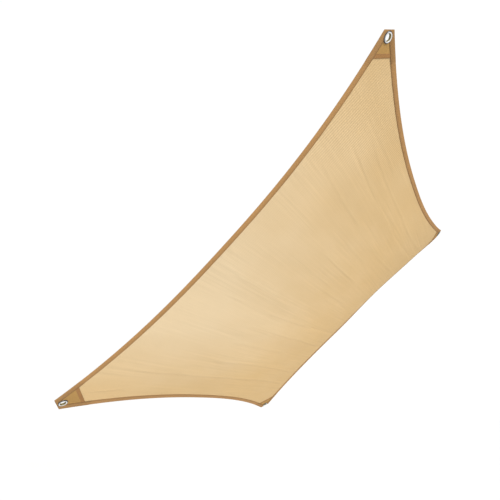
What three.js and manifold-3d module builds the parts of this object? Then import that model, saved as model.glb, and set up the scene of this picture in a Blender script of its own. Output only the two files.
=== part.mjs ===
// A four-sided shade sail, pulled taut by an eyelet in each corner and pitched like a lean-to roof.
//
// Millimetres and degrees. +X runs along the level edges, +Y horizontally up the slope, +Z up. The
// origin is midway between the two high eyelets. The cloth is shaped flat on the sail's own plane,
// x along the level edges and y up the slope, then lifted off that plane and pitched as one group.

import * as THREE from "three";
import { mergeVertices } from "three/addons/utils/BufferGeometryUtils.js";
import Module from "manifold-3d";

const wasm = await Module();
wasm.setup();

// The hung sail, between the sharp points where its hollow edges would meet.
const LEVEL_EDGE = 1866;
const SLOPING_EDGE = 2046;
const PITCH = 36.5;

// The hollow of the edges: how far the middle of each is drawn in, and how round its curve is.
const HOLLOW = {
  sloping: { depth: 148, roundness: 2.4 },
  level: { depth: 122, roundness: 2.3 },
};

// How the cloth leaves the plane of its corners.
const BELLY = 40; // sag of the middle of the cloth
const HIGH_EDGE_SAG = 15;
const LEFT_EDGE_SAG = 14;
// The left edge turned up: straight beneath its tape and curved up to it, between two places where
// the roll begins and two where it ends.
const ROLL = { slope: 0.22, straight: 40, width: 88, begins: [0.45, 0.7], ends: [0.74, 0.96] };
const TURNED_CORNER = { height: 36, reach: 300 }; // the high left corner, pulled up by its rope

// Slack troughs that run level across the cloth: height up the slope from its middle, half width,
// depth, and the stretch across the cloth, from 0 at the right-hand edge to 1 at the left-hand one.
const TROUGHS = [
  { up: 665, halfWidth: 90, depth: 4, from: 0.1, to: 0.9 },
  { up: 480, halfWidth: 80, depth: 3, from: 0.35, to: 0.95 },
  { up: 285, halfWidth: 85, depth: 4, from: 0.2, to: 0.75 },
  { up: -55, halfWidth: 80, depth: 3, from: 0.05, to: 0.5 },
  { up: -240, halfWidth: 90, depth: 5, from: 0.15, to: 0.95 },
  { up: -545, halfWidth: 80, depth: 4, from: 0.3, to: 0.95 },
  { up: -700, halfWidth: 80, depth: 5, from: 0.1, to: 0.9 },
];
const TROUGH_FADE = 0.12; // share of the cloth's width over which a trough dies away

// Layers, as thicknesses and the gap left between neighbouring pieces.
const CLOTH = 1;
const TAPE = 1;
const GAP = 0.3;
const TAPE_ROOM = 0.5; // between the tape and what it is folded over

// Binding tape: a strip folded over the edge of the cloth, and over the patches at the corners.
const TAPE_WIDTH = 27;
const FOLD_ROUNDING = 0.8;
const STEP_LENGTH = 24; // along the edge, from lying on the patch to lying on the cloth

// Corner patches: plies sewn over both faces of the cloth, solid where the eyelet goes through. The
// legs run along both edges from the sharp point, to the patch's base and to the cut end. The
// eyelet's distance is measured along the middle line.
const HIGH_CORNER = { patchLeg: 154, bluntLeg: 50, eyelet: 67 };
const LOW_CORNER = { patchLeg: 194, bluntLeg: 79, eyelet: 94 };
const PATCH_LAP = 22; // the cloth's cut corner lies this far inside the patch

// Eyelets: a barrel with a domed flange at each end, and on the crest of each flange a flat ring
// between a rounded mouth and a rolled rim.
const EYELET = { hole: 22, barrel: 24, flange: 39, thickness: 2.2 };
const FLAT = { inner: 28, outer: 33 };
const RIM = { inset: 0.6, height: 1.3 };
const MOUTH = { inset: 1.2, height: 1.1 };
const PATCH_HOLE = EYELET.barrel + 4 * GAP; // across the hole for the barrel
const TAPE_HOLE = 36; // the tapes are cut back under the flanges
const TURNS = 28; // facets round an eyelet

// Distances from a corner at which the cloth is divided, the spacing of the divisions between
// corners, and further ones where its left edge is rolled.
const CLOTH_STEPS = [0, 45, 90, 140, 200, 250, 300];
const OPEN_STEP = { sloping: 66, level: 120 };
const ROLL_STEPS = [88, 72, 56, 40];

const MATERIALS = {
  cloth: new THREE.MeshStandardMaterial({ color: 0xe2c595, roughness: 0.85, metalness: 0 }),
  tape: new THREE.MeshStandardMaterial({ color: 0xad875a, roughness: 0.8, metalness: 0 }),
  patch: new THREE.MeshStandardMaterial({ color: 0xba945c, roughness: 0.85, metalness: 0 }),
  steel: new THREE.MeshStandardMaterial({ color: 0xd4d6d8, roughness: 0.3, metalness: 1 }),
};

// The shares of an edge at which it is divided: close at its corners and even between them. The
// steps are distances from its beginning and from its end, and the last of both is the same.
function divisions(length, step, fromBegin, fromEnd) {
  const corner = fromBegin.at(-1) / length;
  const open = 1 - 2 * corner;
  const count = Math.ceil((open * length) / step);
  const between = Array.from({ length: count - 1 }, (_, i) => corner + (open * (i + 1)) / count);
  const near = (steps) => steps.map((distance) => distance / length);
  return [...near(fromBegin), ...between, ...near(fromEnd).map((share) => 1 - share).reverse()];
}
const atRoll = ROLL_STEPS.map((distance) => 1 - distance / LEVEL_EDGE);
const UPS = divisions(SLOPING_EDGE, OPEN_STEP.sloping, CLOTH_STEPS, CLOTH_STEPS);
const ACROSSES = [
  ...divisions(LEVEL_EDGE, OPEN_STEP.level, CLOTH_STEPS, CLOTH_STEPS),
  ...atRoll,
].sort((a, b) => a - b);

// The tape's divisions at a corner: those of the cloth, and closer ones where it steps down off
// the patch.
function tapeSteps({ patchLeg }) {
  const steppingDown = [0, 0.6, 1.25].map((share) => patchLeg + share * STEP_LENGTH);
  return [...CLOTH_STEPS, ...steppingDown].sort((a, b) => a - b);
}

// The edges run counter-clockwise as seen from above. place() turns the share of the way along an
// edge into up and across, which count from 0 at the low edge and from 0 at the right-hand edge.
const SLOPING = { length: SLOPING_EDGE, step: OPEN_STEP.sloping };
const LEVEL = { length: LEVEL_EDGE, step: OPEN_STEP.level };
const EDGES = [
  { name: "right", ...SLOPING, from: LOW_CORNER, to: HIGH_CORNER, place: (t) => [t, 0] },
  { name: "high", ...LEVEL, from: HIGH_CORNER, to: HIGH_CORNER, place: (t) => [1, t] },
  { name: "left", ...SLOPING, from: HIGH_CORNER, to: LOW_CORNER, place: (t) => [1 - t, 1] },
  { name: "low", ...LEVEL, from: LOW_CORNER, to: LOW_CORNER, place: (t) => [0, 1 - t] },
];
// Each corner is where one edge ends and the next begins.
const CORNERS = [
  { name: "low_right", ...LOW_CORNER, ends: 3, begins: 0 },
  { name: "high_right", ...HIGH_CORNER, ends: 0, begins: 1 },
  { name: "high_left", ...HIGH_CORNER, ends: 1, begins: 2 },
  { name: "low_left", ...LOW_CORNER, ends: 2, begins: 3 },
];

// --- The sail's surface -------------------------------------------------------------------------

const bow = (t, roundness) => 1 - Math.abs(2 * t - 1) ** roundness;
const upTo = ([start, end], t) => THREE.MathUtils.smoothstep(t, start, end);

function drawnIn(edge, t) {
  return edge.depth * bow(t, edge.roundness);
}

// Where a place on the cloth lies on the sail's plane.
function plan(up, across) {
  const x = (1 - 2 * across) * (LEVEL_EDGE / 2 - drawnIn(HOLLOW.sloping, up));
  const y = (2 * up - 1) * (SLOPING_EDGE / 2 - drawnIn(HOLLOW.level, across));
  return new THREE.Vector2(x, y);
}

// The reverse: which place on the cloth lies at a point of the plane.
function placeOf(point) {
  let [up, across] = [0.5, 0.5];
  for (let pass = 0; pass < 30; pass++) {
    across = (1 - point.x / (LEVEL_EDGE / 2 - drawnIn(HOLLOW.sloping, up))) / 2;
    up = (1 + point.y / (SLOPING_EDGE / 2 - drawnIn(HOLLOW.level, across))) / 2;
  }
  return [up, across];
}

function troughDepth(y, across) {
  let depth = 0;
  for (const trough of TROUGHS) {
    const begun = upTo([trough.from, trough.from + TROUGH_FADE], across);
    const ended = upTo([trough.to - TROUGH_FADE, trough.to], across);
    depth += trough.depth * Math.exp(-(((y - trough.up) / trough.halfWidth) ** 2)) * begun * (1 - ended);
  }
  return depth;
}

function lift(up, across, y) {
  const sag = BELLY * bow(up, 2) * bow(across, 2);
  const edgeSag = HIGH_EDGE_SAG * up * bow(across, 2) + LEFT_EDGE_SAG * across * bow(up, 2);
  const fromLeft = (1 - across) * LEVEL_EDGE;
  const fromHigh = (1 - up) * SLOPING_EDGE;
  const curved = ROLL.width - ROLL.straight;
  const along = THREE.MathUtils.clamp(ROLL.width - fromLeft, 0, curved);
  const rise = ROLL.slope * (along ** 2 / (2 * curved) + Math.max(0, ROLL.straight - fromLeft));
  const roll = rise * upTo(ROLL.begins, up) * (1 - upTo(ROLL.ends, up));
  const fromCorner = (fromLeft + fromHigh) * Math.SQRT1_2;
  const turned = TURNED_CORNER.height * Math.max(0, 1 - fromCorner / TURNED_CORNER.reach) ** 2;
  return turned + roll - sag - edgeSag - troughDepth(y, across);
}

function middle(up, across) {
  const { x, y } = plan(up, across);
  return new THREE.Vector3(x, y, lift(up, across, y));
}

// A point of the cloth's middle surface and the way that its upper face looks there.
function onCloth([up, across]) {
  const small = 1e-4;
  const upwards = middle(up + small, across).sub(middle(up - small, across));
  const sideways = middle(up, across + small).sub(middle(up, across - small));
  return { point: middle(up, across), normal: upwards.cross(sideways).normalize() };
}

const raised = ({ point, normal }, height) => point.clone().addScaledVector(normal, height);

// --- Solids -------------------------------------------------------------------------------------

// A closed solid through a row of sections. Each is a loop of points, counter-clockwise when seen
// from the next one, and the cap lists the convex pieces that fill it. A face with four corners is
// split along its higher diagonal, so that layers that lie together are folded alike.
function loft(sections, cap) {
  const count = sections[0].length;
  const points = sections.flat();
  const height = (a, b) => points[a].z + points[b].z;
  const index = [];
  const fan = (loop) => {
    for (let i = 2; i < loop.length; i++) index.push(loop[0], loop[i - 1], loop[i]);
  };
  for (let start = 0; start < (sections.length - 1) * count; start += count) {
    for (let point = 0; point < count; point++) {
      const [here, next] = [start + point, start + ((point + 1) % count)];
      const higher = height(here, next + count) > height(next, here + count);
      fan(higher ? [here, next, next + count, here + count] : [next, next + count, here + count, here]);
    }
  }
  const last = (sections.length - 1) * count;
  for (const piece of cap) {
    fan([...piece].reverse());
    fan(piece.map((point) => last + point));
  }
  const positions = points.flatMap((point) => point.toArray());
  return solid(new Float32Array(positions), new Uint32Array(index));
}

function solid(vertProperties, triVerts) {
  return new wasm.Manifold(new wasm.Mesh({ numProp: 3, vertProperties, triVerts }));
}

function solidOf(geometry) {
  const bare = geometry.clone();
  bare.deleteAttribute("normal");
  bare.deleteAttribute("uv");
  const merged = mergeVertices(bare, 1e-4);
  return solid(merged.attributes.position.array, new Uint32Array(merged.index.array));
}

function geometryOf(manifold) {
  const { vertProperties, triVerts } = manifold.getMesh();
  const geometry = new THREE.BufferGeometry();
  geometry.setAttribute("position", new THREE.BufferAttribute(vertProperties, 3));
  geometry.setIndex(new THREE.BufferAttribute(triVerts, 1));
  geometry.computeVertexNormals();
  return geometry;
}

// A piece of cloth between two heights, held back from the sail's edges by an inset.
function sheet(ups, acrosses, low, high, inset) {
  const within = (share, length) => THREE.MathUtils.clamp(share, inset / length, 1 - inset / length);
  const sections = ups.map((up) => {
    const row = acrosses.map((across) => onCloth([within(up, SLOPING_EDGE), within(across, LEVEL_EDGE)]));
    const under = row.map((place) => raised(place, low));
    const over = row.map((place) => raised(place, high));
    return [...under, ...over.reverse()];
  });
  const top = 2 * acrosses.length - 1;
  const cap = acrosses.slice(1).map((_, i) => [i, i + 1, top - i - 1, top - i]);
  return loft(sections, cap);
}

// --- The edges and corners on the plane ---------------------------------------------------------

const edgePoint = (edge, t) => plan(...edge.place(t));

function inwardFrom(edge, t) {
  const small = 1e-4;
  const along = edgePoint(edge, t + small).sub(edgePoint(edge, t - small)).normalize();
  return new THREE.Vector2(-along.y, along.x);
}

// The share of an edge that lies a straight distance from one of its ends.
function shareAt(edge, fromEnd, distance) {
  const end = edgePoint(edge, fromEnd);
  let [near, far] = [fromEnd, 0.5];
  for (let pass = 0; pass < 40; pass++) {
    const half = (near + far) / 2;
    if (edgePoint(edge, half).distanceTo(end) < distance) near = half;
    else far = half;
  }
  return near;
}

// A corner's sharp point, the way in from it, and how far in the lines across it lie: the patch's
// base, and the cut end.
function cornerFrame({ ends, begins, patchLeg, bluntLeg }) {
  const tip = edgePoint(EDGES[begins], 0);
  const legs = (leg) => [
    edgePoint(EDGES[ends], shareAt(EDGES[ends], 1, leg)),
    edgePoint(EDGES[begins], shareAt(EDGES[begins], 0, leg)),
  ];
  const [one, other] = legs(patchLeg);
  const inward = one.clone().add(other).multiplyScalar(0.5).sub(tip).normalize();
  const base = one.clone().sub(tip).dot(inward);
  const blunt = legs(bluntLeg)[0].sub(tip).dot(inward);
  return { tip, inward, base, blunt };
}

// A block that removes all that lies beyond a line across a corner: outwards or inwards of it.
const BLOCK = { side: 900, height: 300 };
function beyond({ tip, inward }, depth, way) {
  const centre = tip.clone().addScaledVector(inward, depth + (way * BLOCK.side) / 2);
  return block(centre, Math.atan2(inward.y, inward.x));
}

// A block on one side of a corner's middle line: way is 1 on the left of the way in.
function beside({ tip, inward }, way) {
  const left = new THREE.Vector2(-inward.y, inward.x);
  const centre = tip.clone().addScaledVector(left, (way * (BLOCK.side - GAP)) / 2);
  return block(centre, Math.atan2(inward.y, inward.x));
}

function block(centre, turn) {
  const box = new THREE.BoxGeometry(BLOCK.side, BLOCK.side, BLOCK.height);
  return solidOf(box.rotateZ(turn).translate(centre.x, centre.y, 0));
}

// --- The pieces ---------------------------------------------------------------------------------

const HALF_CLOTH = CLOTH / 2;
const PATCH_HALF = HALF_CLOTH + GAP + CLOTH;
const CLOTH_INSET = TAPE + 2 * GAP;
const PATCH_MARGIN = 50; // beyond its base, before it is cut off there
const corners = CORNERS.map((corner) => ({ ...corner, frame: cornerFrame(corner) }));

// Where an eyelet sits, and how to carry a shape drawn about Z into its place.
function eyeletSeat({ frame, eyelet }) {
  const centre = frame.tip.clone().addScaledVector(frame.inward, eyelet);
  const { point, normal } = onCloth(placeOf(centre));
  const turn = new THREE.Quaternion().setFromUnitVectors(new THREE.Vector3(0, 0, 1), normal);
  return new THREE.Matrix4().compose(point, turn, new THREE.Vector3(1, 1, 1));
}

function eyeletHole(corner, width) {
  const drill = new THREE.CylinderGeometry(width / 2, width / 2, EYELET.flange, TURNS);
  return solidOf(drill.rotateX(Math.PI / 2).applyMatrix4(eyeletSeat(corner)));
}

// The cloth, its corners cut off inside the patches.
function panel() {
  let cloth = sheet(UPS, ACROSSES, -HALF_CLOTH, HALF_CLOTH, CLOTH_INSET);
  for (const { frame } of corners) {
    cloth = cloth.subtract(beyond(frame, frame.base - PATCH_LAP, -1));
  }
  return cloth;
}

// A corner patch: one thick sheet with a slot for the cloth, cut off at its base and its blunt end.
function patch(corner) {
  const [up, across] = EDGES[corner.begins].place(0);
  const near = (end, length) => (t) => Math.abs(t - end) * length < corner.patchLeg + PATCH_MARGIN;
  const ups = UPS.filter(near(up, SLOPING_EDGE));
  const acrosses = ACROSSES.filter(near(across, LEVEL_EDGE));
  const { base, blunt } = corner.frame;
  const plies = sheet(ups, acrosses, -PATCH_HALF, PATCH_HALF, CLOTH_INSET);
  const slot = sheet(ups, acrosses, -HALF_CLOTH - GAP, HALF_CLOTH + GAP, 0);
  return plies
    .subtract(slot.subtract(beyond(corner.frame, base - PATCH_LAP - GAP, -1)))
    .subtract(beyond(corner.frame, base, 1))
    .subtract(beyond(corner.frame, blunt, -1))
    .subtract(eyeletHole(corner, PATCH_HOLE));
}

// Half the room inside the folded tape: just over the cloth, and wider where it runs over a patch.
function roomInTape(edge, t) {
  const { patchLeg } = t < 0.5 ? edge.from : edge.to;
  const fromCorner = Math.min(t, 1 - t) * edge.length;
  const onCorner = 1 - upTo([patchLeg, patchLeg + STEP_LENGTH], fromCorner);
  return HALF_CLOTH + TAPE_ROOM + (PATCH_HALF - HALF_CLOTH) * onCorner;
}

// Folded tape in section: distance in from the edge, side of the cloth, and thickness over the room
// inside it. The pieces are those that fill the section.
const FOLDED = [
  { inward: 0, side: -1, over: TAPE - FOLD_ROUNDING },
  { inward: FOLD_ROUNDING, side: -1, over: TAPE },
  { inward: TAPE_WIDTH, side: -1, over: TAPE },
  { inward: TAPE_WIDTH, side: -1, over: 0 },
  { inward: TAPE, side: -1, over: 0 },
  { inward: TAPE, side: 1, over: 0 },
  { inward: TAPE_WIDTH, side: 1, over: 0 },
  { inward: TAPE_WIDTH, side: 1, over: TAPE },
  { inward: FOLD_ROUNDING, side: 1, over: TAPE },
  { inward: 0, side: 1, over: TAPE - FOLD_ROUNDING },
];
const FOLDED_PIECES = [
  [1, 2, 3, 4],
  [0, 1, 4],
  [0, 4, 5, 9],
  [9, 5, 8],
  [5, 6, 7, 8],
];

// Binding tape, folded over an edge. Its ends are mitred along the corners' middle lines and cut
// off at the blunt ends.
function binding(edge) {
  const shares = divisions(edge.length, edge.step, tapeSteps(edge.from), tapeSteps(edge.to));
  const sections = shares.map((t) => {
    const outer = edgePoint(edge, t);
    const way = inwardFrom(edge, t);
    const room = roomInTape(edge, t);
    return FOLDED.map(({ inward, side, over }) => {
      const place = placeOf(outer.clone().addScaledVector(way, inward));
      return raised(onCloth(place), side * (room + over));
    });
  });
  let tape = loft(sections, FOLDED_PIECES);
  for (const corner of corners) {
    const begins = EDGES[corner.begins] === edge;
    if (!begins && EDGES[corner.ends] !== edge) continue;
    tape = tape
      .subtract(beyond(corner.frame, corner.frame.blunt, -1))
      .subtract(beside(corner.frame, begins ? 1 : -1))
      .subtract(eyeletHole(corner, TAPE_HOLE));
  }
  return tape;
}

// An eyelet about Z. Its profile is drawn for the upper flange and mirrored for the lower one.
function eyelet() {
  const seat = PATCH_HALF + TAPE_ROOM + TAPE + TAPE_ROOM;
  const face = seat + EYELET.thickness;
  const half = [
    [EYELET.barrel / 2, seat],
    [EYELET.flange / 2, seat],
    [EYELET.flange / 2 - RIM.inset, seat + RIM.height],
    [FLAT.outer / 2, face],
    [FLAT.inner / 2, face],
    [EYELET.hole / 2 + MOUTH.inset, seat + MOUTH.height],
    [EYELET.hole / 2, seat - EYELET.thickness],
  ];
  const profile = [...half, ...half.map(([r, z]) => [r, -z]).reverse(), half[0]];
  const points = profile.map(([r, z]) => new THREE.Vector2(r, z));
  return new THREE.LatheGeometry(points, TURNS).rotateX(Math.PI / 2);
}

// --- The sail -----------------------------------------------------------------------------------

const sail = new THREE.Group();

function add(name, geometry, material) {
  const mesh = new THREE.Mesh(geometry, material);
  mesh.name = name;
  sail.add(mesh);
  return mesh;
}

add("sail_panel", geometryOf(panel()), MATERIALS.cloth);
for (const edge of EDGES) {
  add(`binding_${edge.name}`, geometryOf(binding(edge)), MATERIALS.tape);
}
for (const corner of corners) {
  add(`patch_${corner.name}`, geometryOf(patch(corner)), MATERIALS.patch);
  const ring = add(`eyelet_${corner.name}`, eyelet(), MATERIALS.steel);
  ring.applyMatrix4(eyeletSeat(corner));
}

// Pitch the sail about the level axis and bring the middle of its two high eyelets to the origin.
sail.rotation.x = THREE.MathUtils.degToRad(PITCH);
sail.updateMatrixWorld();
const highEyelets = ["eyelet_high_right", "eyelet_high_left"].map((name) =>
  new THREE.Vector3().setFromMatrixPosition(sail.getObjectByName(name).matrixWorld),
);
sail.position.addVectors(...highEyelets).multiplyScalar(-0.5);

export default sail;
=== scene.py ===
"""A taut shade sail: sand-coloured cloth with hollow edges bound in brown tape, and a patch and a
bright eyelet in each corner. It is laid out as an add-on and is run as a script."""

import math
from collections import namedtuple
from contextlib import contextmanager

import bpy
import numpy as np
from mathutils import Matrix, Vector

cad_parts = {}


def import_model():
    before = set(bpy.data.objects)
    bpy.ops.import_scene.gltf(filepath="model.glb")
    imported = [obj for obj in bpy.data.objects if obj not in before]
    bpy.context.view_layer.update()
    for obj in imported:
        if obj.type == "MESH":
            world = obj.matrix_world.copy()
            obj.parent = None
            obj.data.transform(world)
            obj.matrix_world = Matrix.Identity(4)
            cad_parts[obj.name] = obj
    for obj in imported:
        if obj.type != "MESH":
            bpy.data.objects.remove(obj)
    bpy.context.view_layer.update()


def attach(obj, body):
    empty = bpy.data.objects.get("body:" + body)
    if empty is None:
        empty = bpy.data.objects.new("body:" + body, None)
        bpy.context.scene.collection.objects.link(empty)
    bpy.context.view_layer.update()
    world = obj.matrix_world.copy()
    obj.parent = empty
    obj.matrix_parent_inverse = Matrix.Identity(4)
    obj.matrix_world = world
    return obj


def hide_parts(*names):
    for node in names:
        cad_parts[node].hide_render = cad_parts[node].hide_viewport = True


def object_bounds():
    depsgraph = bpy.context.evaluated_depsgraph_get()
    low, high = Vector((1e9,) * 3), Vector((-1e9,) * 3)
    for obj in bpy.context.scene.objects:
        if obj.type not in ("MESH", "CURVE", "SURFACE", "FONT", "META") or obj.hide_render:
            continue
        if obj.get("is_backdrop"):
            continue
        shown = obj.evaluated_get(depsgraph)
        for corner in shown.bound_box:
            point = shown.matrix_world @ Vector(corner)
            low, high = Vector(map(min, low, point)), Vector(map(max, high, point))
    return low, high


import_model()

MM = 0.001
# Points nearer to each other than this are one point.
TOUCHING = 0.001 * MM

bl_info = {
    "name": "Shade Sail",
    "version": (1, 0, 0),
    "blender": (4, 5, 0),
    "location": "3D View > Sidebar > Shade Sail",
    "description": "Adds a taut four-sided shade sail with bound edges, corner patches and eyelets",
    "category": "Add Mesh",
}


def length(name, description, default):
    return bpy.props.FloatProperty(
        name=name, description=description, default=default, min=0, precision=4, unit="LENGTH"
    )


def colour(name, description, default):
    return bpy.props.FloatVectorProperty(
        name=name, description=description, default=default, subtype="COLOR", size=3, min=0, max=1
    )


def strength(name, description, default):
    return bpy.props.FloatProperty(name=name, description=description, default=default, min=0)


class ShadeSailSizes(bpy.types.PropertyGroup):
    """Sizes of the sail. A corner's tip is where its edges would meet if it weren't cut blunt."""

    level_edge: length("Level edge", "Straight from tip to tip of a level edge", 1.866)
    sloping_edge: length("Sloping edge", "Straight from tip to tip of a sloping edge", 2.046)
    pitch: bpy.props.FloatProperty(
        name="Pitch",
        description="Slope of the hung sail",
        default=math.radians(36.5),
        subtype="ANGLE",
    )
    level_hollow: length("Level hollow", "How far the middle of a level edge is drawn in", 0.122)
    sloping_hollow: length("Sloping hollow", "How far the middle of a sloping edge is drawn in", 0.148)
    belly: length("Belly", "Sag of the middle of the cloth", 0.040)
    cloth_thickness: length("Cloth thickness", "Thickness of the cloth", 0.001)
    tape_width: length("Tape width", "Width of the binding tape on each face", 0.027)
    tape_thickness: length("Tape thickness", "Thickness of the binding tape", 0.0009)
    high_patch: length("High patch", "Along an edge, from a high corner's tip to its patch", 0.150)
    low_patch: length("Low patch", "Along an edge, from a low corner's tip to its patch", 0.196)
    patch_hem: length("Patch hem", "Width of the turned-under band along the patch's base", 0.015)
    high_blunt: length("High blunt end", "Along an edge, from a high corner's tip to its cut end", 0.050)
    low_blunt: length("Low blunt end", "Along an edge, from a low corner's tip to its cut end", 0.079)
    high_eyelet: length("High eyelet", "From a high corner's tip to the middle of its eyelet", 0.067)
    low_eyelet: length("Low eyelet", "From a low corner's tip to the middle of its eyelet", 0.094)
    eyelet_flange: length("Eyelet flange", "Diameter of the eyelet's flange", 0.039)
    stitch: length("Stitch", "Pitch of the stitching", 0.0048)


class ShadeSailColours(bpy.types.PropertyGroup):
    """Colours of the sail and of its surroundings."""

    cloth: colour("Cloth", "Colour of the woven cloth", (0.617, 0.430, 0.213))
    # The paler colour of the cloth where painted light falls on it.
    lit_cloth: colour("Faded cloth", "Colour of the cloth where it has faded", (0.655, 0.512, 0.323))
    tape: colour("Tape", "Colour of the binding tape", (0.415, 0.230, 0.090))
    # Painted shade along the tapes' lips.
    tape_border: colour("Tape border", "Colour of the tape's inner border", (0.19, 0.100, 0.038))
    patch: colour("Patch", "Colour of the corner patches", (0.395, 0.232, 0.078))
    patch_hem: colour("Patch hem", "Colour of the patches' turned-under hems", (0.33, 0.170, 0.064))
    thread: colour("Thread", "Colour of the sewing thread", (0.28, 0.165, 0.07))
    metal: colour("Metal", "Colour of the eyelets", (0.93, 0.94, 0.96))
    # Painted shade inside the eyelets' holes.
    bore: colour("Bore", "Colour inside the eyelets, where the plating is worn off", (0.29, 0.25, 0.13))
    # Painted shade and dark reflection round the eyelets' rims.
    dark_rim: colour("Tarnish", "Colour of the eyelets where they are tarnished", (0.055, 0.058, 0.062))
    floor: colour("Floor", "Colour of the floor", (0.9, 0.9, 0.89))
    sky: colour("Sky", "Colour of the light all round", (1.0, 1.0, 1.0))


class ShadeSailStage(bpy.types.PropertyGroup):
    """Where the floor lies and how strong the lights are."""

    floor_drop: length("Floor drop", "Height of the lowest point above the floor", 1.4)
    floor_size: length("Floor size", "Side of the floor", 120.0)
    sky_strength: strength("Sky", "Strength of the light all round", 0.45)
    backdrop_strength: strength("Backdrop", "Brightness of the backdrop itself", 1.02)
    top_strength: strength("Top light", "Strength of the soft light from above", 2.1)
    side_strength: strength("Side light", "Strength of the soft light that grazes the underside", 2.2)


# --- The hung cloth -----------------------------------------------------------------------------

# Slack troughs across the cloth: distance up the slope from its middle, half width and depth, and
# the shares of the way from the right-hand edge to the left-hand one where each starts and ends.
Trough = namedtuple("Trough", "up half_width depth start end")
TROUGHS = (
    Trough(0.665, 0.090, 0.004, 0.10, 0.90),
    Trough(0.480, 0.080, 0.003, 0.35, 0.95),
    Trough(0.285, 0.085, 0.004, 0.20, 0.75),
    Trough(-0.055, 0.080, 0.003, 0.05, 0.50),
    Trough(-0.240, 0.090, 0.005, 0.15, 0.95),
    Trough(-0.545, 0.080, 0.004, 0.30, 0.95),
    Trough(-0.700, 0.080, 0.005, 0.10, 0.90),
)
TROUGH_FADE = 0.12

# Fine creases left by folding, each from its left-hand end: the shares of the way up where it starts
# and ends, half width, depth (a ridge where it is negative), and the shares of the way across.
Crease = namedtuple("Crease", "up_start up_end half_width depth start end")
CREASES = (
    Crease(0.890, 0.914, 0.009, 0.0009, 0.93, 0.55),
    Crease(0.914, 0.910, 0.007, 0.0011, 0.60, 0.17),
    Crease(0.845, 0.868, 0.010, -0.0011, 0.96, 0.48),
    Crease(0.868, 0.852, 0.009, -0.0012, 0.55, 0.10),
    Crease(0.862, 0.862, 0.007, 0.0010, 0.70, 0.15),
    Crease(0.764, 0.772, 0.010, 0.0010, 0.90, 0.52),
    Crease(0.783, 0.776, 0.009, 0.0010, 0.42, 0.06),
    Crease(0.724, 0.722, 0.008, 0.0007, 0.64, 0.38),
    Crease(0.655, 0.655, 0.006, 0.0012, 0.67, 0.33),
    Crease(0.594, 0.592, 0.006, 0.0010, 0.55, 0.40),
    Crease(0.572, 0.566, 0.010, 0.0009, 0.80, 0.50),
    Crease(0.474, 0.470, 0.008, 0.0013, 0.36, 0.07),
    Crease(0.440, 0.425, 0.010, -0.0013, 0.98, 0.62),
    Crease(0.428, 0.412, 0.008, 0.0012, 0.72, 0.33),
    Crease(0.417, 0.416, 0.007, 0.0011, 0.25, 0.12),
    Crease(0.368, 0.363, 0.009, 0.0014, 0.95, 0.62),
    Crease(0.360, 0.353, 0.008, 0.0011, 0.66, 0.32),
    Crease(0.290, 0.276, 0.012, 0.0008, 0.70, 0.30),
    Crease(0.218, 0.203, 0.009, 0.0014, 0.94, 0.60),
    Crease(0.207, 0.190, 0.009, 0.0013, 0.64, 0.33),
    Crease(0.214, 0.205, 0.006, -0.0009, 0.60, 0.42),
    Crease(0.152, 0.126, 0.010, 0.0016, 0.97, 0.60),
    Crease(0.129, 0.116, 0.009, 0.0017, 0.68, 0.33),
    Crease(0.117, 0.132, 0.009, 0.0015, 0.38, 0.08),
    Crease(0.053, 0.057, 0.008, 0.0022, 0.17, 0.045),
)
CREASE_FADE = 0.05

# The left-hand edge is turned up at a slope: straight next to the edge, then curved, over a width
# in all. The turn grows and fades over two stretches of the way up.
ROLL = {"slope": 0.22, "straight": 0.040, "width": 0.088, "begins": (0.45, 0.70), "ends": (0.84, 0.97)}
# The high left corner is pulled up, less and less out to its reach.
TURNED_CORNER = {"height": 0.036, "reach": 0.300}
HIGH_EDGE_SAG = 0.015
LEFT_EDGE_SAG = 0.014
# Powers of the edges' hollow curves: 2 is a parabola, and more is fuller towards the corners.
SLOPING_ROUNDNESS = 2.4
LEVEL_ROUNDNESS = 2.3
# A small step along or over the sail, to tell which way it runs there.
NUDGE = 1e-4

# Up and across count from 0 to 1, from the low edge and from the right-hand edge.
CORNERS = {"low_right": (0, 0), "high_right": (1, 0), "high_left": (1, 1), "low_left": (0, 1)}
# The corners that each edge runs between, counter-clockwise as seen from above.
EDGES = {
    "right": ("low_right", "high_right"),
    "high": ("high_right", "high_left"),
    "left": ("high_left", "low_left"),
    "low": ("low_left", "low_right"),
}


def bow(share, roundness):
    """0 at a share of 0 and of 1, and 1 halfway, along a curve of a power."""
    return 1 - np.abs(2 * share - 1) ** roundness


def ease(start, end, value):
    """0 up to a start, 1 from an end on, and smooth between."""
    share = np.clip((value - start) / (end - start), 0, 1)
    return share * share * (3 - 2 * share)


def stretch(start, end, fade, value):
    """1 from a start to an end, fading to 0 just inside both."""
    return ease(start, start + fade, value) * (1 - ease(end - fade, end, value))


# Steps that close in on a point's place on the cloth.
PLACE_STEPS = 30
# Places along an edge from a corner, as shares of it, among which the corner's legs end.
LEG_PLACES = np.linspace(0, 0.2, 2001)


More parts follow.
